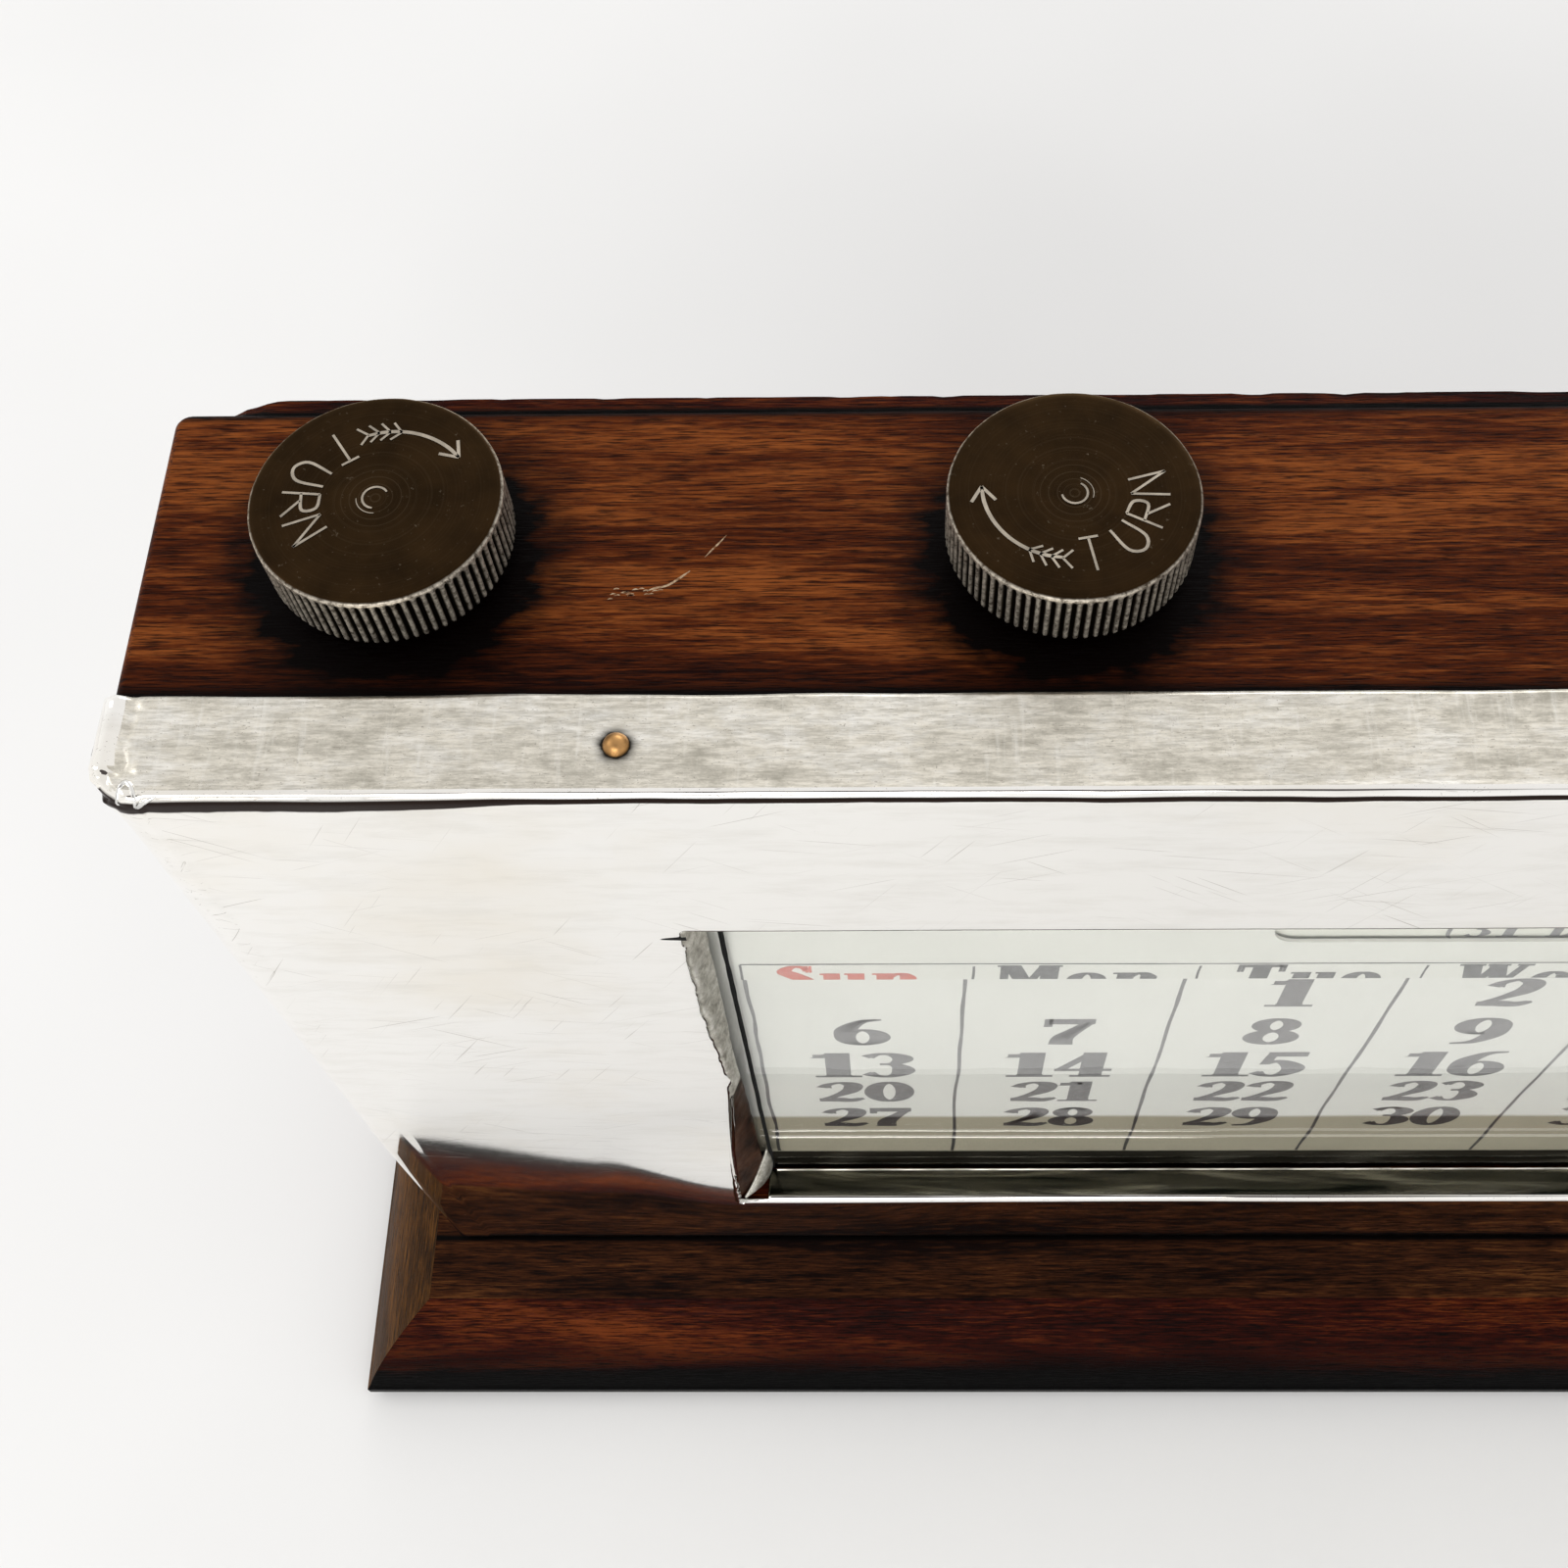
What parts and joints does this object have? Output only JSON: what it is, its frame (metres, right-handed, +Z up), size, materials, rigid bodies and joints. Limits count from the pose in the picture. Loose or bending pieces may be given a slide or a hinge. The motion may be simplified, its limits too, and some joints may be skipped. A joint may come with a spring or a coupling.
{
  "type": "perpetual desk calendar",
  "caption": "Standing wooden desk calendar with a sheet-silver front, a glazed window and knobs on top that wind a date band and a month band sideways.",
  "frame": {"origin": "on the table under the middle of the base", "axes": "+Z up, +X to the reader's right along the width, +Y to the back; the window faces -Y"},
  "size_m": [0.2342, 0.051, 0.1306],
  "materials": {
    "case_wood": "dark red-brown stained hardwood, worn wax polish",
    "base_wood": "dark red-brown stained hardwood, waxed",
    "inner_wood": "plain unstained softwood",
    "silver": "old hand-polished silver sheet with fine scratches",
    "dark_bronze": "oxidised dark bronze, worn bright on the rim",
    "brass": "aged brass",
    "steel": "plain drawn rod",
    "glass": "clear window glass",
    "card": "matt printed card",
    "paper": "matt printed paper",
    "felt": "green baize"
  },
  "bodies": {
    "case": {"back_panel": "case_wood", "back_panel_pins": "brass", "base_board": "base_wood", "base_felt": "felt", "base_moulding_front": "base_wood", "base_moulding_left": "base_wood", "base_moulding_right": "base_wood", "base_screws": "steel", "bottom_board": "inner_wood", "date_guide_board": "inner_wood", "floor_bushes": "brass", "front_bottom_rail": "case_wood", "front_left_stile": "case_wood", "front_right_stile": "case_wood", "front_top_rail": "case_wood", "glass": "glass", "glazing_strip_left": "inner_wood", "glazing_strip_right": "inner_wood", "header_card": "card", "knob_bushes": "brass", "left_side": "case_wood", "month_guide_board": "inner_wood", "right_side": "case_wood", "roller_shelf": "inner_wood", "shelf_bushes": "brass", "silver_front": "silver", "silver_pins": "brass", "top_board": "case_wood"},
    "date_left_spindle": {"date_left_knob": "dark_bronze", "date_left_roller": "inner_wood", "date_left_shaft": "steel", "date_left_wound_paper": "paper"},
    "date_right_spindle": {"date_right_knob": "dark_bronze", "date_right_roller": "inner_wood", "date_right_shaft": "steel", "date_right_wound_paper": "paper"},
    "month_left_spindle": {"month_left_knob": "dark_bronze", "month_left_roller": "inner_wood", "month_left_shaft": "steel", "month_left_wound_paper": "paper"},
    "month_right_spindle": {"month_right_knob": "dark_bronze", "month_right_roller": "inner_wood", "month_right_shaft": "steel", "month_right_wound_paper": "paper"},
    "date_band": {"date_band": "paper"},
    "month_band": {"month_band": "paper"}
  },
  "joints": [
    {"name": "date_left_turn", "type": "hinge", "parent": "case", "child": "date_left_spindle", "pos_m": [-0.088, 0.0098, 0.1282], "axis": [0, 0, -1], "range_deg": [0, 214.8]},
    {"name": "date_right_turn", "type": "hinge", "parent": "case", "child": "date_right_spindle", "pos_m": [0.088, 0.0098, 0.1282], "axis": [0, 0, -1], "range_deg": [0, 214.8]},
    {"name": "date_band_travel", "type": "slide", "parent": "case", "child": "date_band", "axis": [-1, 0, 0], "range_m": [0, 0.01875]},
    {"name": "month_left_turn", "type": "hinge", "parent": "case", "child": "month_left_spindle", "pos_m": [-0.0421, 0.0098, 0.1282], "axis": [0, 0, -1], "range_deg": [0, 623.8]},
    {"name": "month_right_turn", "type": "hinge", "parent": "case", "child": "month_right_spindle", "pos_m": [0.0421, 0.0098, 0.1282], "axis": [0, 0, -1], "range_deg": [0, 623.8]},
    {"name": "month_band_travel", "type": "slide", "parent": "case", "child": "month_band", "axis": [-1, 0, 0], "range_m": [0, 0.049]}
  ],
  "couplings": [
    {"joint": "date_right_turn", "follows": "date_left_turn", "ratio": 1},
    {"joint": "date_band_travel", "follows": "date_left_turn", "m_per_rad": 0.005},
    {"joint": "month_right_turn", "follows": "month_left_turn", "ratio": 1},
    {"joint": "month_band_travel", "follows": "month_left_turn", "m_per_rad": 0.0045}
  ]
}
